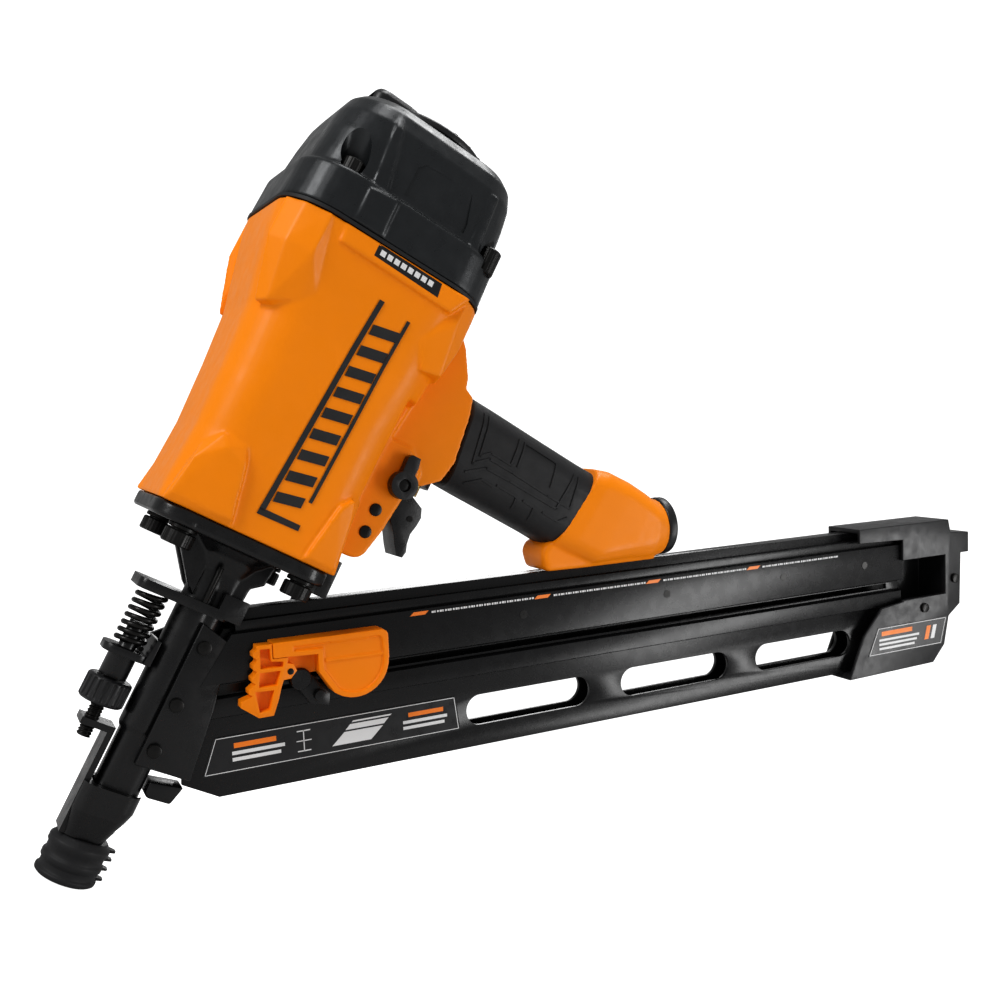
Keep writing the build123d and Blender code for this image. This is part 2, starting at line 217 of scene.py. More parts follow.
def softened(node, material, width=0.5, segments=2, angle=28):
    """The node's own shape as a new piece with rounded edges."""
    source = NODES[node]
    mesh = source.data.copy()
    obj = bpy.data.objects.new("soft_" + node, mesh)
    obj.matrix_world = source.matrix_world.copy()
    bpy.context.scene.collection.objects.link(obj)
    bm = bmesh.new()
    bm.from_mesh(mesh)
    bmesh.ops.remove_doubles(bm, verts=bm.verts, dist=1e-6)
    bmesh.ops.dissolve_limit(bm, angle_limit=math.radians(2), verts=bm.verts, edges=bm.edges)
    bm.to_mesh(mesh)
    bm.free()
    if mesh.has_custom_normals:
        activate(obj)
        bpy.ops.mesh.customdata_custom_splitnormals_clear()
    if width:
        bevel(obj, width, segments, angle)
    body = next(b for b, names in frame["record"]["behaviour"]["bodies"].items() if node in names)
    return finish_piece(obj, material, body, (node,))


def drape(name, outline, body_piece, lift, side=-1, spacing=1.2, thick=0.7):
    """A thin patch laid on the near side (side -1) of a piece, inside an outline in (x, z)."""
    mesh = bpy.data.meshes.new(name)
    bm = bmesh.new()
    face = bm.faces.new([bm.verts.new((x * MM, 0, z * MM)) for x, z in outline])
    face.normal_update()
    xs = [p[0] for p in outline]
    zs = [p[1] for p in outline]
    for low, high, axis in ((min(xs), max(xs), 0), (min(zs), max(zs), 2)):
        steps = int((high - low) / spacing)
        for i in range(1, steps + 1):
            place = Vector((0, 0, 0))
            place[axis] = (low + (high - low) * i / (steps + 1)) * MM
            normal = Vector((0, 0, 0))
            normal[axis] = 1
            geometry = bm.verts[:] + bm.edges[:] + bm.faces[:]
            bmesh.ops.bisect_plane(bm, geom=geometry, plane_co=place, plane_no=normal, dist=1e-7)
    skin = bmesh.new()
    skin.from_mesh(body_piece.data)
    tree = BVHTree.FromBMesh(skin)
    for vert in bm.verts:
        start = Vector((vert.co.x, side * 0.1, vert.co.z))
        hit = tree.ray_cast(start, Vector((0, -side, 0)))
        vert.co.y = (hit[0].y if hit[0] else 0) + side * lift * MM
    skin.free()
    top = bmesh.ops.extrude_face_region(bm, geom=bm.faces[:])
    moved = [v for v in top["geom"] if isinstance(v, bmesh.types.BMVert)]
    bmesh.ops.translate(bm, vec=(0, -side * thick * MM, 0), verts=moved)
    bmesh.ops.recalc_face_normals(bm, faces=bm.faces)
    bm.to_mesh(mesh)
    bm.free()
    obj = bpy.data.objects.new(name, mesh)
    bpy.context.scene.collection.objects.link(obj)
    return obj


# ---------------------------------------------------------------- materials
def surface(name, color, roughness, metallic=0.0, coat=0.0, coat_roughness=0.15, spread=0.08, grain_mm=0.8,
            depth=0.06, blotch=0.06, specular=0.5):
    """A coat or moulding: blotchy colour, roughness that varies, and a fine grain in the bump."""
    material = bpy.data.materials.new(name)
    material.use_nodes = True
    nodes, links = material.node_tree.nodes, material.node_tree.links
    shader = nodes["Principled BSDF"]
    shader.inputs["Metallic"].default_value = metallic
    shader.inputs["Coat Weight"].default_value = coat
    shader.inputs["Coat Roughness"].default_value = coat_roughness
    shader.inputs["Specular IOR Level"].default_value = specular
    place = nodes.new("ShaderNodeTexCoord")

    broad = nodes.new("ShaderNodeTexNoise")
    broad.inputs["Scale"].default_value = 38
    broad.inputs["Detail"].default_value = 5
    links.new(place.outputs["Object"], broad.inputs["Vector"])
    tone = nodes.new("ShaderNodeValToRGB")
    tone.color_ramp.elements[0].position = 0.3
    tone.color_ramp.elements[1].position = 0.7
    tone.color_ramp.elements[0].color = [c * (1 - blotch) for c in color] + [1]
    tone.color_ramp.elements[1].color = [min(1, c * (1 + blotch)) for c in color] + [1]
    links.new(broad.outputs["Fac"], tone.inputs["Fac"])
    links.new(tone.outputs["Color"], shader.inputs["Base Color"])

    wear = nodes.new("ShaderNodeTexNoise")
    wear.inputs["Scale"].default_value = 160
    wear.inputs["Detail"].default_value = 6
    links.new(place.outputs["Object"], wear.inputs["Vector"])
    gloss = nodes.new("ShaderNodeMapRange")
    gloss.inputs["From Min"].default_value = 0.3
    gloss.inputs["From Max"].default_value = 0.7
    gloss.inputs["To Min"].default_value = max(0.03, roughness - spread)
    gloss.inputs["To Max"].default_value = min(1, roughness + spread)
    links.new(wear.outputs["Fac"], gloss.inputs["Value"])
    links.new(gloss.outputs["Result"], shader.inputs["Roughness"])

    grain = nodes.new("ShaderNodeTexNoise")
    grain.inputs["Scale"].default_value = 1000 / grain_mm
    grain.inputs["Detail"].default_value = 3
    links.new(place.outputs["Object"], grain.inputs["Vector"])
    bump = nodes.new("ShaderNodeBump")
    bump.inputs["Strength"].default_value = 1.0
    bump.inputs["Distance"].default_value = depth * MM
    links.new(grain.outputs["Fac"], bump.inputs["Height"])
    links.new(bump.outputs["Normal"], shader.inputs["Normal"])
    return material


ORANGE = surface("orange_powder_coat", (0.93, 0.262, 0.002), 0.4, coat=0.04, coat_roughness=0.25,
                 grain_mm=0.55, depth=0.02, blotch=0.02, specular=0.22)
CAP_GREY = surface("cap_powder_coat", (0.020, 0.022, 0.024), 0.33, metallic=0.3, grain_mm=0.5, depth=0.03)
BLACK_METAL = surface("black_enamel", (0.006, 0.006, 0.0065), 0.3, grain_mm=0.9, depth=0.04, specular=0.45)
ANODISED = surface("black_anodised", (0.006, 0.006, 0.0065), 0.27, spread=0.03, grain_mm=0.6, depth=0.015,
                   specular=0.4)
OXIDE = surface("black_oxide", (0.014, 0.0135, 0.013), 0.32, metallic=0.6, grain_mm=0.5, depth=0.03)
STEEL = surface("bright_steel", (0.55, 0.55, 0.56), 0.28, metallic=1.0, grain_mm=0.4, depth=0.02)
ALUMINIUM = surface("machined_aluminium", (0.72, 0.72, 0.74), 0.32, metallic=1.0, grain_mm=0.5, depth=0.02)
BRASS = surface("turned_brass", (0.62, 0.45, 0.16), 0.3, metallic=1.0, grain_mm=0.5, depth=0.02)
RUBBER = surface("moulded_rubber", (0.016, 0.016, 0.017), 0.55, grain_mm=0.35, depth=0.05, specular=0.35)
PLASTIC = surface("black_moulding", (0.009, 0.009, 0.01), 0.38, grain_mm=0.5, depth=0.05)
ORANGE_PLASTIC = surface("orange_moulding", (0.93, 0.245, 0.001), 0.4, grain_mm=0.6, depth=0.03, blotch=0.02,
                         specular=0.25)
FILM = surface("printed_film", (0.010, 0.010, 0.011), 0.32, grain_mm=1.2, depth=0.01, blotch=0.03)
PRINT_WHITE = surface("white_print", (0.75, 0.75, 0.75), 0.4, grain_mm=1.2, depth=0.01, blotch=0.03)
PRINT_ORANGE = surface("orange_print", (0.9, 0.22, 0.01), 0.4, grain_mm=1.2, depth=0.01, blotch=0.03)
INLAY = surface("black_inlay", (0.014, 0.014, 0.015), 0.45, grain_mm=0.4, depth=0.06)

LOOKS = {"orange_paint": ORANGE, "cap_paint": CAP_GREY, "black_metal": BLACK_METAL,
         "black_anodised": ANODISED, "black_oxide": OXIDE, "steel": STEEL, "aluminium": ALUMINIUM,
         "rubber": RUBBER, "black_plastic": PLASTIC, "orange_plastic": ORANGE_PLASTIC,
         "label_film": FILM, "brass": BRASS}
SLOT_OF = {part["node"]: part["material_slot"] for part in frame["record"]["subparts"]}
for node_name, node in NODES.items():
    node.data.materials.clear()
    node.data.materials.append(LOOKS[SLOT_OF[node_name]])


# ---------------------------------------------------------------- housing
def mirrored(points):
    return [(x, -y, z) for x, y, z in points]


def hull(name, points):
    """The convex solid round a few points."""
    mesh = bpy.data.meshes.new(name)
    bm = bmesh.new()
    for p in points:
        bm.verts.new(tuple(c * MM for c in p))
    bmesh.ops.convex_hull(bm, input=bm.verts)
    loose = [v for v in bm.verts if not v.link_faces]
    bmesh.ops.delete(bm, geom=loose, context="VERTS")
    bm.to_mesh(mesh)
    bm.free()
    obj = bpy.data.objects.new(name, mesh)
    bpy.context.scene.collection.objects.link(obj)
    return obj


BODY_LEVELS = ((-42, 43, 37.5, FLANGE_TOP_Z, 15), (-42, 43.5, 38, 180, 16), (-41, 42, 39.6, 205, 18),
               (-42.5, 43, 41.2, 235, 20), (-44.5, 46.5, 42.4, 262, 21), (-48.5, 48.5, 44.6, 280, 23),
               (-52, 50, 47.0, 297, 24), (-53.6, 51.7, 48.8, SEAM_Z, 24))


def main_housing():
    parts = [loft("barrel", [rounded_ring(*level) for level in BODY_LEVELS])]
    upper_front = [(-33.5, -49.2, SEAM_Z), (-45, -44.2, SEAM_Z), (-52, -36, SEAM_Z), (-33.5, -48.8, 290),
                   (-45.5, -44.8, 290), (-52.4, -36.5, 290), (-24, -44.2, 276), (-28, -43.2, 270.5),
                   (-41, -41.2, 264), (-44.6, -34.5, 262), (-30, -34, 262), (-30, -30, SEAM_Z),
                   (-50, -30, SEAM_Z)]
    upper_rear = [(40, -46.2, SEAM_Z), (46, -41, SEAM_Z), (50.5, -34, SEAM_Z), (40, -47.0, 298),
                  (28, -45.0, 282), (35, -43.4, 270), (44.5, -43.4, 272), (48.5, -40, 288),
                  (34, -30, SEAM_Z), (30, -30, 280), (36, -30, 268), (48, -30, 270)]
    lower_front = [(-42, -36.5, FLANGE_TOP_Z), (-11, -37.6, FLANGE_TOP_Z), (-40, -38.5, 173),
                   (-12, -41.0, 173), (-38.5, -39.5, 190), (-17, -42.2, 196), (-28, -42.0, 200),
                   (-20, -40.2, 203.5), (-31, -39.2, 205), (-41, -30, FLANGE_TOP_Z),
                   (-12, -30, FLANGE_TOP_Z), (-36, -30, 203), (-18, -30, 203)]
    lower_rear = [(24, -37.6, FLANGE_TOP_Z), (42, -36, FLANGE_TOP_Z), (25, -40, 172), (40, -38.5, 172),
                  (29, -41.4, 198), (34, -40.6, 204), (37, -39.6, 196), (26, -30, FLANGE_TOP_Z),
                  (42, -30, FLANGE_TOP_Z), (30, -30, 204), (38, -30, 200)]
    for k, points in enumerate((upper_front, upper_rear, lower_front, lower_rear)):
        parts.append(hull("boss_near_%d" % k, points))
        parts.append(hull("boss_far_%d" % k, mirrored(points)))
    root = ([(30, 230), (60, 226)] + arc(66, 231, 5.5, 240, 300, 4) + [(77, 233), (79.5, 244), (76.5, 268)]
            + [(74, 277), (68.5, 279.5), (67.5, 284), (60, 296), (52, 305), (30, 305)])
    parts.append(prism("handle_root", root, -18.5, 18.5))
    for side in (-1, 1):
        outline = [(30, 181)] + arc(50, 188, 7.2, 270, 340, 5) + [(60, 199), (62, 214), (65, 231), (56, 240),
                                                                 (30, 240)]
        low, high = sorted((side * 13.3, side * 19.9))
        parts.append(prism("cheek_%d" % side, outline, low, high))
        pad = [(-25.5, 300.4), (34, 298.6), (40, SEAM_Z), (-26, SEAM_Z)]
        parts.append(prism("seam_pad", pad, *sorted((side * 40, side * 49.4))))
    sleeve = rounded_ring(-19, 19, 13, 0, 10.5)
    core = []
    for x in (74, 168):
        core.append([(x, p[1], HANDLE_AXIS_Z + p[0]) for p in sleeve])
    parts.append(loft("handle_core", core))
    parts += rear_handle_solids()
    for side in (-1, 1):
        flank = hull("flank", [(36, side * 44, 205), (36, side * 46, 258), (40.5, side * 20.2, 206),
                               (40.5, side * 20.2, 256), (75, side * 20.2, 200), (75, side * 20.2, 262),
                               (75, side * 60, 196), (75, side * 60, 268)])
        cut(parts[0], [flank])
    body = join("visual_housing", parts)
    cast(body, 0.8, 5, keep=0.55)
    pins = [turned("hole%d" % i, [(3.1, -24), (3.1, 24)], (x, 0, z), "y", 40)
            for i, (x, z) in enumerate(((52, 206), (52, 194.5), (58, 222)))]
    cut(body, pins)
    return finish_piece(body, ORANGE, "housing", ("main_housing",), 40)


def rear_handle_solids():
    """The flared rear of the handle, from the grip's section to its round end, and its foot on the rail."""
    stations = (
        # top (x, z), bottom (x, z), half width, how square: a round end has a corner equal to its half width
        ((158.5, 279.2), (150.5, 229.5), 17.6, 0.70), ((166, 281.4), (160, 230.5), 18.6, 0.62),
        ((180, 281.8), (178, 232), 19.0, 0.55), ((193, 281.2), (196, 242.5), 19.0, 0.60),
        ((199.5, 280.4), (211, 249.8), 18.6, 0.75), ((203.2, 282.0), (219.2, 255.4), 17.0, 0.98),
        ((204.9, 282.9), (220.4, 256.1), 16.2, 1.0))
    rings = []
    for (xt, zt), (xb, zb), wide, round_part in stations:
        half = math.hypot(xt - xb, zt - zb) / 2
        corner = round_part * min(wide, half)
        ring = []
        for p in rounded_ring(-half, half, wide, 0, corner):
            share = (p[0] + half) / (2 * half)
            ring.append((xb + (xt - xb) * share, p[1], zb + (zt - zb) * share))
        rings.append(ring)
    flare = loft("rear_flare", rings)
    sole = ([(147.5, 229), (148.5, 224), (155, 217.6)]
            + [tilt_point(u, 0, 86.3)[::2] for u in (250, 300)] + [(196, 250), (152, 236)])
    foot = prism("rear_foot", sole, -12.5, 12.5)
    bevel(foot, 2.5, 3, 24)
    return [flare, foot]


# ---------------------------------------------------------------- cap
CAP_PLACES = ((-33, -40), (-33, 40), (42, -40), (42, 40))
FLANGE_PLACES = ((-27, -29), (-27, 29), (31, -28), (31, 28))
# each level: front x, rear x, half width, height, corner radius
CAP_BAND_LEVELS = ((-53.4, 51.4, 48.9, 311.3, 24), (-53.6, 51.6, 49.2, 312.5, 24), (-53, 51.2, 48.6, 330, 24),
                   (-52, 50, 47.4, 331.6, 24))
CAP_DOME_LEVELS = ((-50.2, 48.4, 45.8, 326, 22), (-49.2, 48.0, 45.6, 338, 22), (-47.8, 47.4, 45.2, 350, 22),
                   (-46.0, 46.4, 43.8, 361, 22), (-43.4, 44.6, 40.6, 368.5, 21),
                   (-39.4, 41.4, 35.6, 373.4, 20), (-33, 37, 29.4, 376, 18))


def cylinder_cap():
    band = loft("cap_band", [rounded_ring(*level) for level in CAP_BAND_LEVELS])
    dome = loft("cap_dome", [rounded_ring(*level) for level in CAP_DOME_LEVELS])
    bosses = []
    for side in (-1, 1):
        ribs = ([(-23, 47.2, 331), (-16, 47.4, 331), (-25, 45.6, 360), (-21, 45.6, 360), (-23, 30, 331),
                 (-16, 30, 331), (-25, 30, 372.5), (-21, 30, 372.5), (-23, 39, 371)],
                [(29, 47, 331), (34, 46.4, 331), (29, 44.6, 359), (33, 44.2, 359), (29, 30, 331),
                 (34, 30, 331), (29, 30, 369), (33, 30, 369)])
        for rib in ribs:
            bosses.append(hull("cap_rib", [(x, side * y, z) for x, y, z in rib]))
        bosses.append(prism("front_pad", [(-24, 328), (-10, 330), (-10, 312), (-24, 312)], *sorted(
            (side * 40, side * 50.2))))
    cap = join("visual_cap", [band, dome] + bosses)
    cast(cap, 0.7, 8, keep=0.5)
    pockets = []
    for x, y in CAP_PLACES:
        rings = []
        for h in range(326, 362, 4):
            lean = 1 + max(0, h - 334) * 0.011
            rings.append([(x * lean + 6.6 * math.cos(a), y * lean + 6.6 * math.sin(a), h)
                          for a in (2 * math.pi * i / 40 for i in range(40))])
        pockets.append(loft("pocket", rings))
    for side in (-1, 1):
        outline = [(-8.5, 335), (-8, 349.5), (-5, 352.7), (17, 354.4), (20.5, 352.8), (24, 339.5), (24, 335)]
        pockets.append(prism("recess", outline, *sorted((side * 44.7, side * 60))))
    cut(cap, pockets)
    return finish_piece(cap, CAP_GREY, "housing", ("cylinder_cap",), 40)


def drive_socket(radius, low, high, centre):
    """A hexagon drive pocket."""
    angles = [math.radians(60 * i) for i in range(6)]
    ring = [(radius * math.cos(a), radius * math.sin(a)) for a in angles]
    return loft("hex", [[(centre[0] + p, centre[1] + q, h) for p, q in ring] for h in (low, high)])


def socket_heads(name, places, low, high, radius, knurled, top_socket):
    """Cap screws: a knurled head with a hexagon socket."""
    heads = []
    for x, y in places:
        if knurled:
            rings = []
            for h, grow in ((low, -0.6), (low + 0.6, 0), (high - 0.6, 0), (high, -0.6)):
                ring = []
                for i in range(96):
                    a = 2 * math.pi * i / 96
                    r = radius + grow - (0.12 if i % 4 < 2 else 0)
                    ring.append((x + r * math.cos(a), y + r * math.sin(a), h))
                rings.append(ring)
            head = loft("head", rings)
        else:
            head = turned("head", [(radius - 0.7, low), (radius, low + 0.7), (radius, high - 0.7),
                                   (radius - 0.7, high)], (x, y, 0))
        span = (high - 3.2, high + 1) if top_socket else (low - 1, low + 3.2)
        cut(head, [drive_socket(radius * 0.5, span[0], span[1], (x, y))])
        heads.append(head)
    return join(name, heads)


def cap_and_flange_bolts():
    cap_bolts = socket_heads("visual_cap_bolts", CAP_PLACES, 325.5, 337.6, 5.2, True, True)
    finish_piece(cap_bolts, OXIDE, "housing", ("cap_bolts",), 30)
    heads = socket_heads("flange_heads", FLANGE_PLACES, 153.1, 159.6, 6.9, True, False)
    collars = [turned("collar", [(4.6, 159.2), (4.6, 163)], (x, y, 0)) for x, y in FLANGE_PLACES]
    washers = [turned("washer", [(6.0, 160.1), (6.5, 160.4), (6.5, 161.7), (6.0, 162)], (x, y, 0))
               for x, y in FLANGE_PLACES]
    bolts = join("visual_flange_bolts", [heads] + collars + washers)
    finish_piece(bolts, OXIDE, "housing", ("flange_bolts",), 30)


def exhaust_deflector():
    x = 2.0
    disc = turned("deflector_disc", [(29.4, 376.2), (30.2, 376.8), (30.2, 379.2), (29.2, 380.3), (12, 381)],
                  (x, 0, 0), steps=96)
    hood = loft("hood", [rounded_ring(-33.6, -8, 13.6, z, 5) for z in (376.6, 383.6)]
                + [rounded_ring(-32, -9.5, 12, 386.4, 5)])
    ribs = [hull("fin", [(rx, y, 380), (rx + 3, y, 380), (rx, y, 382.6), (rx + 3, y, 382.6), (rx, -y, 380),
                         (rx + 3, -y, 380), (rx, -y, 382.6), (rx + 3, -y, 382.6)])
            for rx, y in ((-4, 24), (5, 25), (14, 22), (22, 17))]
    deflector = join("visual_deflector", [disc, hood] + ribs)
    cast(deflector, 0.6, 3, keep=0.5)
    mouth = prism("mouth", [(-45, 379.4), (-14, 379.4), (-14, 384.6), (-45, 384.6)], -9.8, 9.8)
    hole = turned("hole", [(3.3, 370), (3.3, 400)], (x, 0, 0))
    cut(deflector, [mouth, hole])
    finish_piece(deflector, PLASTIC, "deflector", ("exhaust_deflector",), 40)


# ---------------------------------------------------------------- grip
def handle_grip():
    """A rubber sleeve, wider at its ends, with a raised line pattern on both flanks."""
    rings = []
    stations = ((0.0, 22.6, 16.8), (1.2, 23.3, 17.5), (14, 23.3, 17.4), (40, 22.9, 17.2), (66, 22.6, 17.2),
                (81, 22.8, 17.4), (82.8, 22.0, 16.4))
    for along, half, wide in stations:
        ring = []
        for p in rounded_ring(-half, half, wide, 0, 13.5):
            lean_front = 78.6 - 0.11 * p[0] + 0.0028 * p[0] ** 2
            lean_rear = 160.8 + 0.12 * p[0] - 0.009 * p[0] ** 2 + (0.012 * p[0] ** 2 if p[0] > 0 else 0)
            share = along / 82.8
            x = lean_front * (1 - share) + lean_rear * share
            ring.append((x, p[1], 256.2 - 0.03 * along + p[0]))
        rings.append(ring)
    grip = loft("visual_grip", rings)
    bevel(grip, 0.7, 3, 40)
    pattern = [grip]
    lines = (((84.5, 274), (88.5, 248.5), (96, 254.5), (110.5, 254)),
             ((87.5, 274), (90.5, 253.5), (95.5, 257.5), (108.2, 257), (107.5, 271)),
             ((110.5, 254), (134, 252.5)),
             ((87, 243), (96.5, 249.5), (111, 249.5), (142, 248.5), (144.5, 269)),
             ((134, 252.5), (149.5, 252), (147.5, 269)),
             ((90, 238), (97, 243.5), (104, 243)),
             ((106, 244.5), (118.5, 244), (119.5, 238)),
             ((123, 244), (130, 243.5), (131, 237)),
             ((136, 243.5), (146, 243), (150, 247)),
             ((112, 258), (111, 271), (132, 270), (134, 257)))
    for side in (-1, 1):
        for line in lines:
            for (xa, za), (xb, zb) in zip(line, line[1:]):
                length = math.hypot(xb - xa, zb - za)
                dx, dz = (xb - xa) / length, (zb - za) / length
                nx, nz = -dz * 0.5, dx * 0.5
                outline = [(xa - dx * 0.4 + nx, za - dz * 0.4 + nz), (xb + dx * 0.4 + nx, zb + dz * 0.4 + nz),
                           (xb + dx * 0.4 - nx, zb + dz * 0.4 - nz), (xa - dx * 0.4 - nx, za - dz * 0.4 - nz)]
                ridge = drape("ridge", outline, grip, 0.5, side, 1.5, 1.4)
                pattern.append(ridge)
    grip = join("visual_grip", pattern)
    return finish_piece(grip, RUBBER, "housing", ("handle_grip",), 30)


# ---------------------------------------------------------------- pusher
def pusher():
    outline = ([(80.4, 71.8), (134, 71.3)] + arc(133, 68, 3.2, 80, 0, 4) + [(136.2, 57)]
               + arc(119, 57.5, 17, 0, -130, 14) + [(101.4, 55), (101.4, 63.7), (88, 64.4), (80.4, 64.6)])
    plate = prism("pusher_plate", outline, -21.2, -12, True)
    inner = [(90, 69), (132, 68.6)] + arc(130.5, 66, 2.6, 80, 0, 4) + [(133.4, 57.5)]
    inner += arc(119, 57.5, 14.4, 0, -125, 12) + [(104, 56), (104, 66.3), (90, 66.6)]
    rim = prism("pusher_rim", outline, -22.4, -21, True)
    cut(rim, [prism("rim_cut", inner, -30, -10, True)])
    ribs = [prism("rib", [(105, 59.4), (133.4, 59.0), (133.4, 60.1), (105, 60.5)], -21.9, -21, True),
            prism("rib", [(108, 68.9), (126, 68.7), (126, 67.9), (108, 68.1)], -21.9, -21, True)]
    lug = prism("lug", [(80, 64.2), (101.4, 64.2), (101.4, 54), (92, 54), (85, 58)], -15.2, -12, True)
    housing = join("visual_pusher", [plate, rim, lug] + ribs)
    cast(housing, 0.42, 2, keep=0.4)
    finish_piece(housing, ORANGE_PLASTIC, "pusher", ("pusher_housing",), 35)


def thumb_latch():
    outline = [(80, 71.4), (73, 71.6)]
    for u, w in ((71.6, 68), (71.2, 62.4), (70.3, 56.8), (68.6, 51.4)):
        outline += [(u + 1.2, w + 1.4), (u - 0.4, w + 0.2), (u - 0.4, w - 1.6), (u + 1.2, w - 2.8)]
    outline += [(64.6, 47), (64.2, 44.2), (72.1, 38.2), (79, 38.3), (81.8, 45.6), (83.4, 51.2), (84.6, 54),
                (88, 54.2), (91, 57.5), (89.6, 60.6), (86.6, 61.6), (87.4, 64.2), (80, 64.4)]
    body = prism("latch_body", outline, -22, -15.7, True)
    windows = [[(74.4, 69.6), (79, 69.4), (79.4, 63.4), (85, 62.6), (84.6, 60.2), (74.2, 60.6)],
               [(73.8, 58.8), (83.4, 58.6), (81.4, 52), (73, 52.2)],
               [(71.2, 50.4), (79.8, 50), (77.6, 41.2), (72.6, 40.6)]]
    cut(body, [prism("window", window, -30, -17.5, True) for window in windows])
    bevel(body, 0.45, 2, 30)
    finish_piece(body, ORANGE_PLASTIC, "thumb_latch", ("thumb_latch",), 35)


def pusher_blade():
    """The steel follower behind the pusher, with the arm and roller that show below it."""
    parts = [prism("stem", [(86, 49.1), (112, 49.1), (112, 51.3), (86, 51.3)], -11.4, -3.5, True),
             prism("foot", [(86, 49), (96, 49), (108, 69), (98, 69)], -3.5, 3.5, True),
             prism("toe", [(64, 8), (74, 8), (98, 50), (88, 50)], -3.5, 3.5, True),
             prism("gusset", [(98, 55), (108.5, 42.5), (107.5, 36.6), (98.4, 39), (93.4, 46.3)],
                   -14.6, -11.5, True),
             turned("roller", [(4.6, -17.4), (5.2, -16.9), (5.2, -12.1), (4.6, -11.6)], (94, 0, 51.8),
                    "y", 40, True),
             turned("boss", [(3.0, -17.5), (3.0, -14.6)], (103, 0, 42.4), "y", 32, True)]
    blade = join("visual_blade", parts)
    bevel(blade, 0.4, 2, 40)
    finish_piece(blade, BLACK_METAL, "pusher", ("pusher_blade",), 35)


# ---------------------------------------------------------------- nose tip and wheel
def nose_casting():
    """The flange, the webs under it and the tube that guides the driver."""
    parts = [loft("flange", [rounded_ring(-41, 41, 36, 162, 12), rounded_ring(-42, 42, 37, 163, 13),
                             rounded_ring(-42, 42, 37, 168, 13), rounded_ring(-41.6, 41.6, 36.6, 169, 13)]),
             loft("throat", [rounded_ring(-7, 14, 8.4, 139, 5), rounded_ring(-8, 14.5, 9, 150, 6),
                             rounded_ring(-11, 17, 12, 157, 8), rounded_ring(-17, 22, 18, 163, 10)])]
    front_web = [(-6, 136), (-9.5, 139), (-24, 158.5), (-27, 163), (-6, 163)]
    rear_web = [(12, 139), (17, 141), (17.5, 148), (23, 152), (24.5, 163), (12, 163)]
    for name, outline, inner, outer in (("front_web", front_web, 4.6, 8.4), ("rear_web", rear_web, 4.4, 8.2)):
        parts += [prism(name, outline, *sorted((side * inner, side * outer))) for side in (-1, 1)]
    barrel = [rounded_ring(-7, 14, 8.4, z, 7) for z in (40.2, 141)]
    parts.append(loft("barrel", barrel))
    parts.append(turned("driver_tube", [(8.6, 70), (9.2, 72), (9.2, 163)], (0.6, 0, 0)))
    for x, y in FLANGE_PLACES:
        parts.append(turned("seat", [(8.2, 162.2), (8.6, 163), (8.6, 165)], (x, y, 0)))
    nose = join("visual_nose", parts)
    cast(nose, 0.6, 3, keep=0.5)
    holes = [turned("shank", [(4.1, 150), (4.1, 180)], (x, y, 0)) for x, y in FLANGE_PLACES]
    holes.append(turned("bore", [(4.3, 20), (4.3, 180)], (0, 0, 0)))
    holes.append(prism("nail_way", [(0.5, 45), (20, 45), (20, 122), (0.5, 122)], -4.3, 4.3))
    cut(nose, holes)
    finish_piece(nose, BLACK_METAL, "housing", ("nose_casting",), 40)


def no_mar_tip():
    """The rubber foot: a ribbed sleeve with a column of nibs on its rear side."""
    profile = [(12.6, 0.2), (13.8, 1.0), (13.9, 2.6), (12.9, 3.4), (12.9, 6.2), (13.8, 7.2), (13.9, 9.4),
               (13, 10.4), (13, 13.2), (13.8, 14.2), (13.8, 16.8), (12.8, 17.8), (11.2, 19.6)]
    tip = turned("tip", profile, (0, 0, 0), steps=96)
    cut(tip, [turned("mouth", [(5.3, -2), (5.3, 30)], (0, 0, 0))])
    pins = []
    for z in (3.6, 8.4, 12.8, 16.6):
        pins.append(hull("nib", [(12, -3, z - 0.8), (12, 3, z - 0.8), (12, -3, z + 0.8), (12, 3, z + 0.8),
                                 (16.2, -1.6, z - 0.5), (16.2, 1.6, z - 0.5), (16.2, -1.6, z + 0.5),
                                 (16.2, 1.6, z + 0.5)]))
    tip = join("visual_tip", [tip] + pins)
    bevel(tip, 0.35, 2, 40)
    finish_piece(tip, RUBBER, "contact_tip", ("no_mar_tip",), 40)


def depth_wheel():
    rings = []
    for h, radius, groove in ((76.1, 9.2, 0.0), (77.0, 10.2, 0.0), (77.8, 10.3, 0.9), (86.2, 10.3, 0.9),
                              (87.0, 10.2, 0.0), (87.9, 9.2, 0.0)):
        ring = []
        for i in range(160):
            phase = (i % 8) / 8
            dip = groove if 0.25 <= phase < 0.75 else 0
            a = 2 * math.pi * i / 160
            ring.append((ROD_X + (radius - dip) * math.cos(a), (radius - dip) * math.sin(a), h))
        rings.append(ring)
    wheel = loft("visual_wheel", rings)
    cut(wheel, [turned("bore", [(3.5, 70), (3.5, 95)], (ROD_X, 0, 0))])
    bevel(wheel, 0.25, 2, 40)
    finish_piece(wheel, PLASTIC, "depth_wheel", ("depth_wheel",), 35)


def threaded_rod():
    """The adjusting rod with its real-looking thread, inside the plain rod's size."""
    rings = []
    steps, pitch, low, high = 32, 1.5, 60.3, 95.7
    turns = (high - low) / pitch
    count = int(turns * 8)
    for k in range(count + 1):
        z = low + (high - low) * k / count
        ring = []
        for i in range(steps):
            a = 2 * math.pi * i / steps
            phase = ((z - low) / pitch - i / steps) % 1.0
            r = 2.75 + 0.6 * abs(2 * phase - 1)
            ring.append((ROD_X + r * math.cos(a), r * math.sin(a), z))
        rings.append(ring)
    rod = loft("visual_rod", rings)
    finish_piece(rod, OXIDE, "contact_tip", ("adjust_rod",), 60)


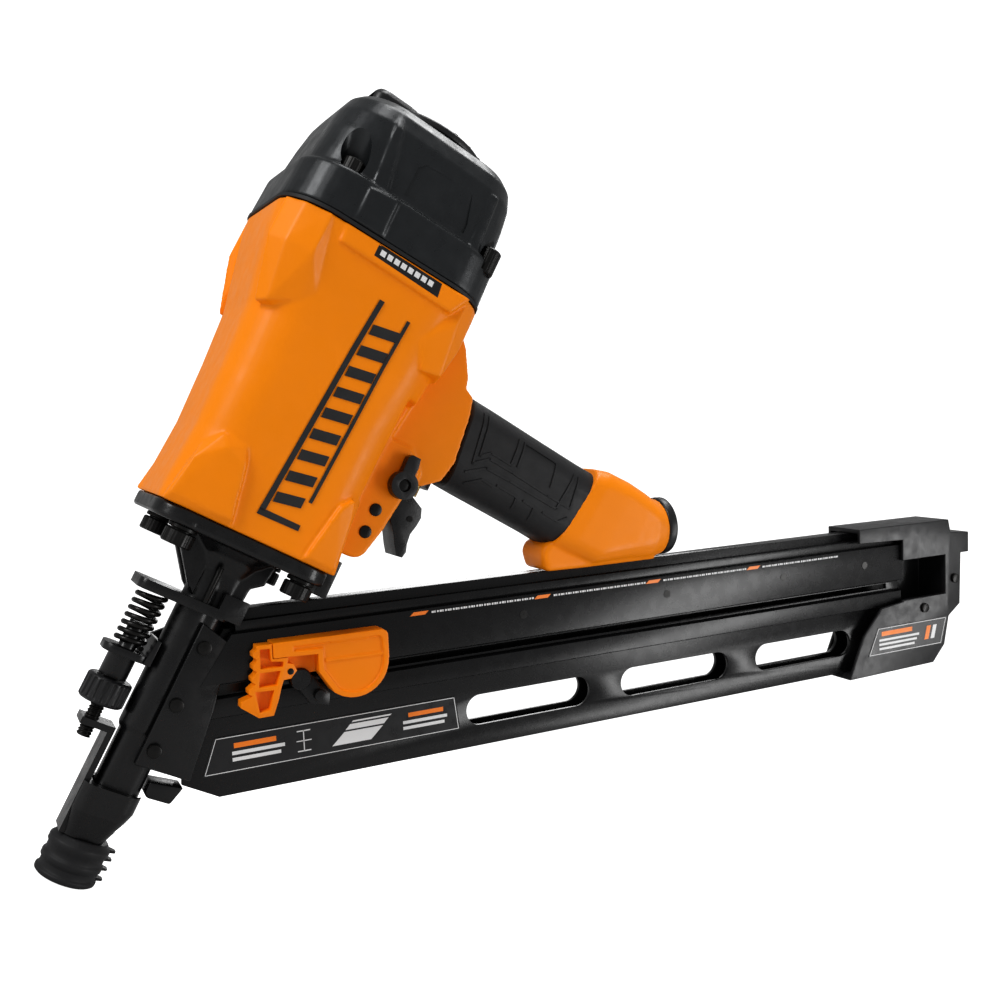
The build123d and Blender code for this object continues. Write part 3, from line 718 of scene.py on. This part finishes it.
def spring(node, body, centre, low, high, radius, wire, turns):
    """A coil that rides on its moving end."""
    rings = []
    steps_per_turn, wire_sides = 28, 10
    steps = steps_per_turn * turns
    for k in range(steps + 1):
        a = 2 * math.pi * k / steps_per_turn
        z = low + wire + (high - low - 2 * wire) * k / steps
        ring = []
        for i in range(wire_sides):
            b = 2 * math.pi * i / wire_sides
            out = radius + wire * math.cos(b)
            ring.append((centre + out * math.cos(a), out * math.sin(a), z + wire * math.sin(b)))
        rings.append(ring)
    coil = loft("visual_" + node, rings)
    finish_piece(coil, LOOKS[SLOT_OF[node]], body, (node,), 60)
    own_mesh(coil)


def springs():
    spring("safety_spring", "safety", ROD_X, 102.8, 129.7, 6.3, 1.2, 7)
    spring("head_valve_spring", "head_valve", 0, 322.5, 346, 27, 1.4, 4)
    spring("trigger_valve_spring", "trigger_plunger", 72.5, 252.2, 262, 2.2, 0.3, 6)


# ---------------------------------------------------------------- graphics: plain shapes, no lettering
def flat_print(name, shapes, y, material):
    """Thin printed shapes in the magazine's plane, near side."""
    pieces = [prism("ink", shape, y - 0.05, y, True) for shape in shapes]
    return finish_piece(join(name, pieces), material, "housing")


def bar(u, w, length, height, lean=0.0):
    return [(u, w), (u + length, w), (u + length + lean, w + height), (u + lean, w + height)]


def frame_lines(outline, thick):
    """Four thin bars along the edges of an outline."""
    bars = []
    n = len(outline)
    for i in range(n):
        (ua, wa), (ub, wb) = outline[i], outline[(i + 1) % n]
        length = math.hypot(ub - ua, wb - wa)
        nu, nw = -(wb - wa) / length * thick / 2, (ub - ua) / length * thick / 2
        bars.append([(ua + nu, wa + nw), (ub + nu, wb + nw), (ub - nu, wb - nw), (ua - nu, wa - nw)])
    return bars


def magazine_graphics():
    y = -7.1
    white = frame_lines([(49, 11.2), (177, 11.2), (175.2, 27.4), (55, 27.4)], 0.35)
    white += [bar(62, 18.6 - 3.0 * k, 25 - 2 * k, 1.7) for k in range(2)]
    white += [bar(96, 14.5, 0.5, 10), bar(93, 24, 6.6, 0.6), bar(92.6, 19.2, 7.4, 0.5),
              bar(93, 14.2, 6.6, 0.6)]
    white += [bar(110, 14, 20, 6, 6.5), bar(117, 20.8, 20, 2.6, 2.6), bar(120.4, 24.2, 20, 0.8, 0.9)]
    white += [bar(147, 18.4 - 2.9 * k, 24 - 1.6 * k, 1.6) for k in range(2)]
    flat_print("print_white", white, y, PRINT_WHITE)
    orange = [bar(63, 21.8, 20, 2.4), bar(150, 21.6, 19, 2.2)]
    flat_print("print_orange", orange, y, PRINT_ORANGE)
    y_cap = -13.7
    white = frame_lines([(453, 9.6), (514, 9.6), (518.6, 25.4), (460.6, 25.4)], 0.35)
    white += [bar(461, 17.4 - 2.7 * k, 34 - 2 * k, 1.4) for k in range(3)]
    white += [bar(505, 13.5, 3.2, 8.6, 2.4)]
    flat_print("end_white", white, y_cap, PRINT_WHITE)
    flat_print("end_orange", [bar(463, 20.6, 26, 2.8), bar(499.5, 13.5, 3.6, 8.6, 2.4)], y_cap, PRINT_ORANGE)
    marks = [bar(152 + 1.45 * k, 73.4, 0.7 + 0.25 * (k % 3), 1.0) for k in range(192) if k % 48 > 7]
    flat_print("rail_white", marks, -11.25, PRINT_WHITE)
    lead = [bar(152 + 2.9 * 24 * k, 73.1, 8, 1.8, 2.0) for k in range(4)]
    flat_print("rail_orange", lead, -11.25, PRINT_ORANGE)


def body_graphics(housing):
    """Raised black frame with slanted bars on both flanks, and a plain strip under the seam."""
    for side, tag in ((-1, "near"), (1, "far")):
        strips = [[(4.8, 288), (2.4, 288), (-3.4, 180), (-0.8, 180)],
                  [(19.6, 286), (18, 286), (15.2, 194), (16.8, 194)],
                  [(-3.4, 180), (-0.8, 180), (16.8, 180.5), (16.6, 183.2), (-3.2, 183)]]
        for k in range(9):
            z = 187.5 + 10.6 * k
            left = 0.2 + (z - 180) * 0.054
            right = left + 12.6
            strips.append([(left, z), (right, z + 2.5), (right, z + 7.3), (left, z + 4.8)])
        pieces = [drape("strip", s, housing, 0.45, side, 2.0, 1.2) for s in strips]
        finish_piece(join("emblem_" + tag, pieces), INLAY, "housing", (), 30)
        badge = [(-9.6, 308.6), (24, 308.2), (24.8, 301.6), (-9.6, 302.8)]
        strip = drape("badge_" + tag, badge, housing, 0.1, side, 2.0, 0.8)
        finish_piece(strip, FILM, "housing", (), 30)
        dashes = [[(left, 306.9), (left + 2.6, 306.8), (left + 2.6, 304.2), (left, 304.3)] for left in
                  (-7.5 + 3.6 * k for k in range(8))]
        dashes = [drape("dash", d, strip, 0.04, side, 2.0, 0.4) for d in dashes]
        finish_piece(join("badge_marks_" + tag, dashes), PRINT_WHITE, "housing", (), 30)


def trigger_rivet():
    """The small pressed pin's ends that show on the trigger's flanks."""
    ends = [turned("pin_end", [(1.5, low), (1.5, low + 0.8)], (74.5, 0, 210.5), "y", 24)
            for low in (-8.4, 7.6)]
    finish_piece(join("trigger_pin_ends", ends), OXIDE, "trigger", (), 30)


# ---------------------------------------------------------------- all pieces
housing_piece = main_housing()
cylinder_cap()
cap_and_flange_bolts()
exhaust_deflector()
handle_grip()
pusher()
thumb_latch()
pusher_blade()
nose_casting()
no_mar_tip()
depth_wheel()
threaded_rod()
springs()
magazine_graphics()
body_graphics(housing_piece)
trigger_rivet()

# CAD shapes shown with rounded edges: the width of each rounding in millimetres
SOFTENED = {"cap_gasket": 0.0, "deflector_screw": 0.6, "spring_seat_plate": 0.5, "guide_pin": 0.3,
            "nose_clamp_near": 0.7, "nose_clamp_far": 0.7, "clamp_screws": 0.5, "front_block": 1.0,
            "magazine_near_plate": 0.4, "magazine_far_plate": 0.4, "magazine_base_rail": 0.5,
            "magazine_top_rail": 0.6, "magazine_end_cap": 0.8, "end_cap_screws": 0.5, "latch_pin": 0.3,
            "safety_bracket": 0.6, "trigger": 1.4, "selector_lever": 0.8, "trigger_pivot": 0.4,
            "cheek_pins": 0.5, "handle_end_cap": 1.6, "air_inlet_bushing": 0.4}
for node_name, width in SOFTENED.items():
    softened(node_name, LOOKS[SLOT_OF[node_name]], width, 3 if width > 0.6 else 2)


# ---------------------------------------------------------------- stage, light and camera
def camera_only(nodes, links, shown, lit):
    """A factor that is one value for the camera and another for the light it gives."""
    path = nodes.new("ShaderNodeLightPath")
    factor = nodes.new("ShaderNodeMapRange")
    factor.inputs["To Min"].default_value = lit
    factor.inputs["To Max"].default_value = shown
    links.new(path.outputs["Is Camera Ray"], factor.inputs["Value"])
    return factor.outputs["Result"]


def stage_material(name, brightness, shown, lit):
    """Pale floor that the camera sees as nearly white."""
    material = bpy.data.materials.new(name)
    material.use_nodes = True
    nodes, links = material.node_tree.nodes, material.node_tree.links
    shader = nodes["Principled BSDF"]
    shader.inputs["Base Color"].default_value = (brightness, brightness, brightness, 1)
    shader.inputs["Roughness"].default_value = 0.9
    shader.inputs["Emission Color"].default_value = (1, 1, 1, 1)
    links.new(camera_only(nodes, links, shown, lit), shader.inputs["Emission Strength"])
    return material


def stage():
    reach, level = 9000, -0.4
    corners = [(-reach, -reach, level), (reach, -reach, level), (reach, reach, level), (-reach, reach, level)]
    floor = make("floor", corners, [(0, 1, 2, 3)])
    floor.data.materials.append(stage_material("pale_floor", 0.5, 0.85, 0.05))
    world = bpy.data.worlds.new("studio")
    bpy.context.scene.world = world
    world.use_nodes = True
    nodes, links = world.node_tree.nodes, world.node_tree.links
    back = nodes["Background"]
    links.new(camera_only(nodes, links, 1.1, 0.32), back.inputs["Strength"])
    back.inputs["Color"].default_value = (1, 1, 1, 1)


def area_light(name, place, aim, size, power):
    light = bpy.data.lights.new(name, "AREA")
    light.shape = "RECTANGLE"
    light.size, light.size_y = size
    light.energy = power
    obj = bpy.data.objects.new(name, light)
    obj.location = place
    obj.rotation_euler = (Vector(aim) - Vector(place)).to_track_quat("-Z", "Y").to_euler()
    bpy.context.scene.collection.objects.link(obj)


def camera():
    azimuth, elevation, roll = (math.radians(v) for v in (-25.72, -7.97, 24.43))
    forward = Vector((-math.sin(azimuth) * math.cos(elevation), math.cos(azimuth) * math.cos(elevation),
                      -math.sin(elevation)))
    right = forward.cross(Vector((0, 0, 1))).normalized()
    up = right.cross(forward)
    side = math.cos(roll) * right + math.sin(roll) * up
    top = -math.sin(roll) * right + math.cos(roll) * up
    data = bpy.data.cameras.new("camera")
    data.sensor_width = 36
    data.lens = 39.33
    data.clip_start = 0.01
    obj = bpy.data.objects.new("camera", data)
    turn = Matrix((side, top, -forward)).transposed()
    obj.matrix_world = Matrix.Translation(Vector((-0.1254, -0.5073, 0.1626))) @ turn.to_4x4()
    bpy.context.scene.collection.objects.link(obj)
    bpy.context.scene.camera = obj


stage()
area_light("key", (-1.35, -0.5, 0.75), (0.05, 0, 0.2), (0.5, 0.9), 12)
area_light("fill", (1.1, -0.9, 0.3), (0.15, 0, 0.2), (0.35, 1.0), 7)
area_light("top", (0.0, 0.1, 1.3), (0.1, 0, 0.2), (1.0, 0.35), 6)
area_light("rim", (0.5, 1.2, 0.7), (0.1, 0, 0.2), (0.6, 0.6), 3)
camera()
bpy.context.scene.view_settings.view_transform = "Standard"
bpy.context.scene.view_settings.look = "Medium High Contrast"
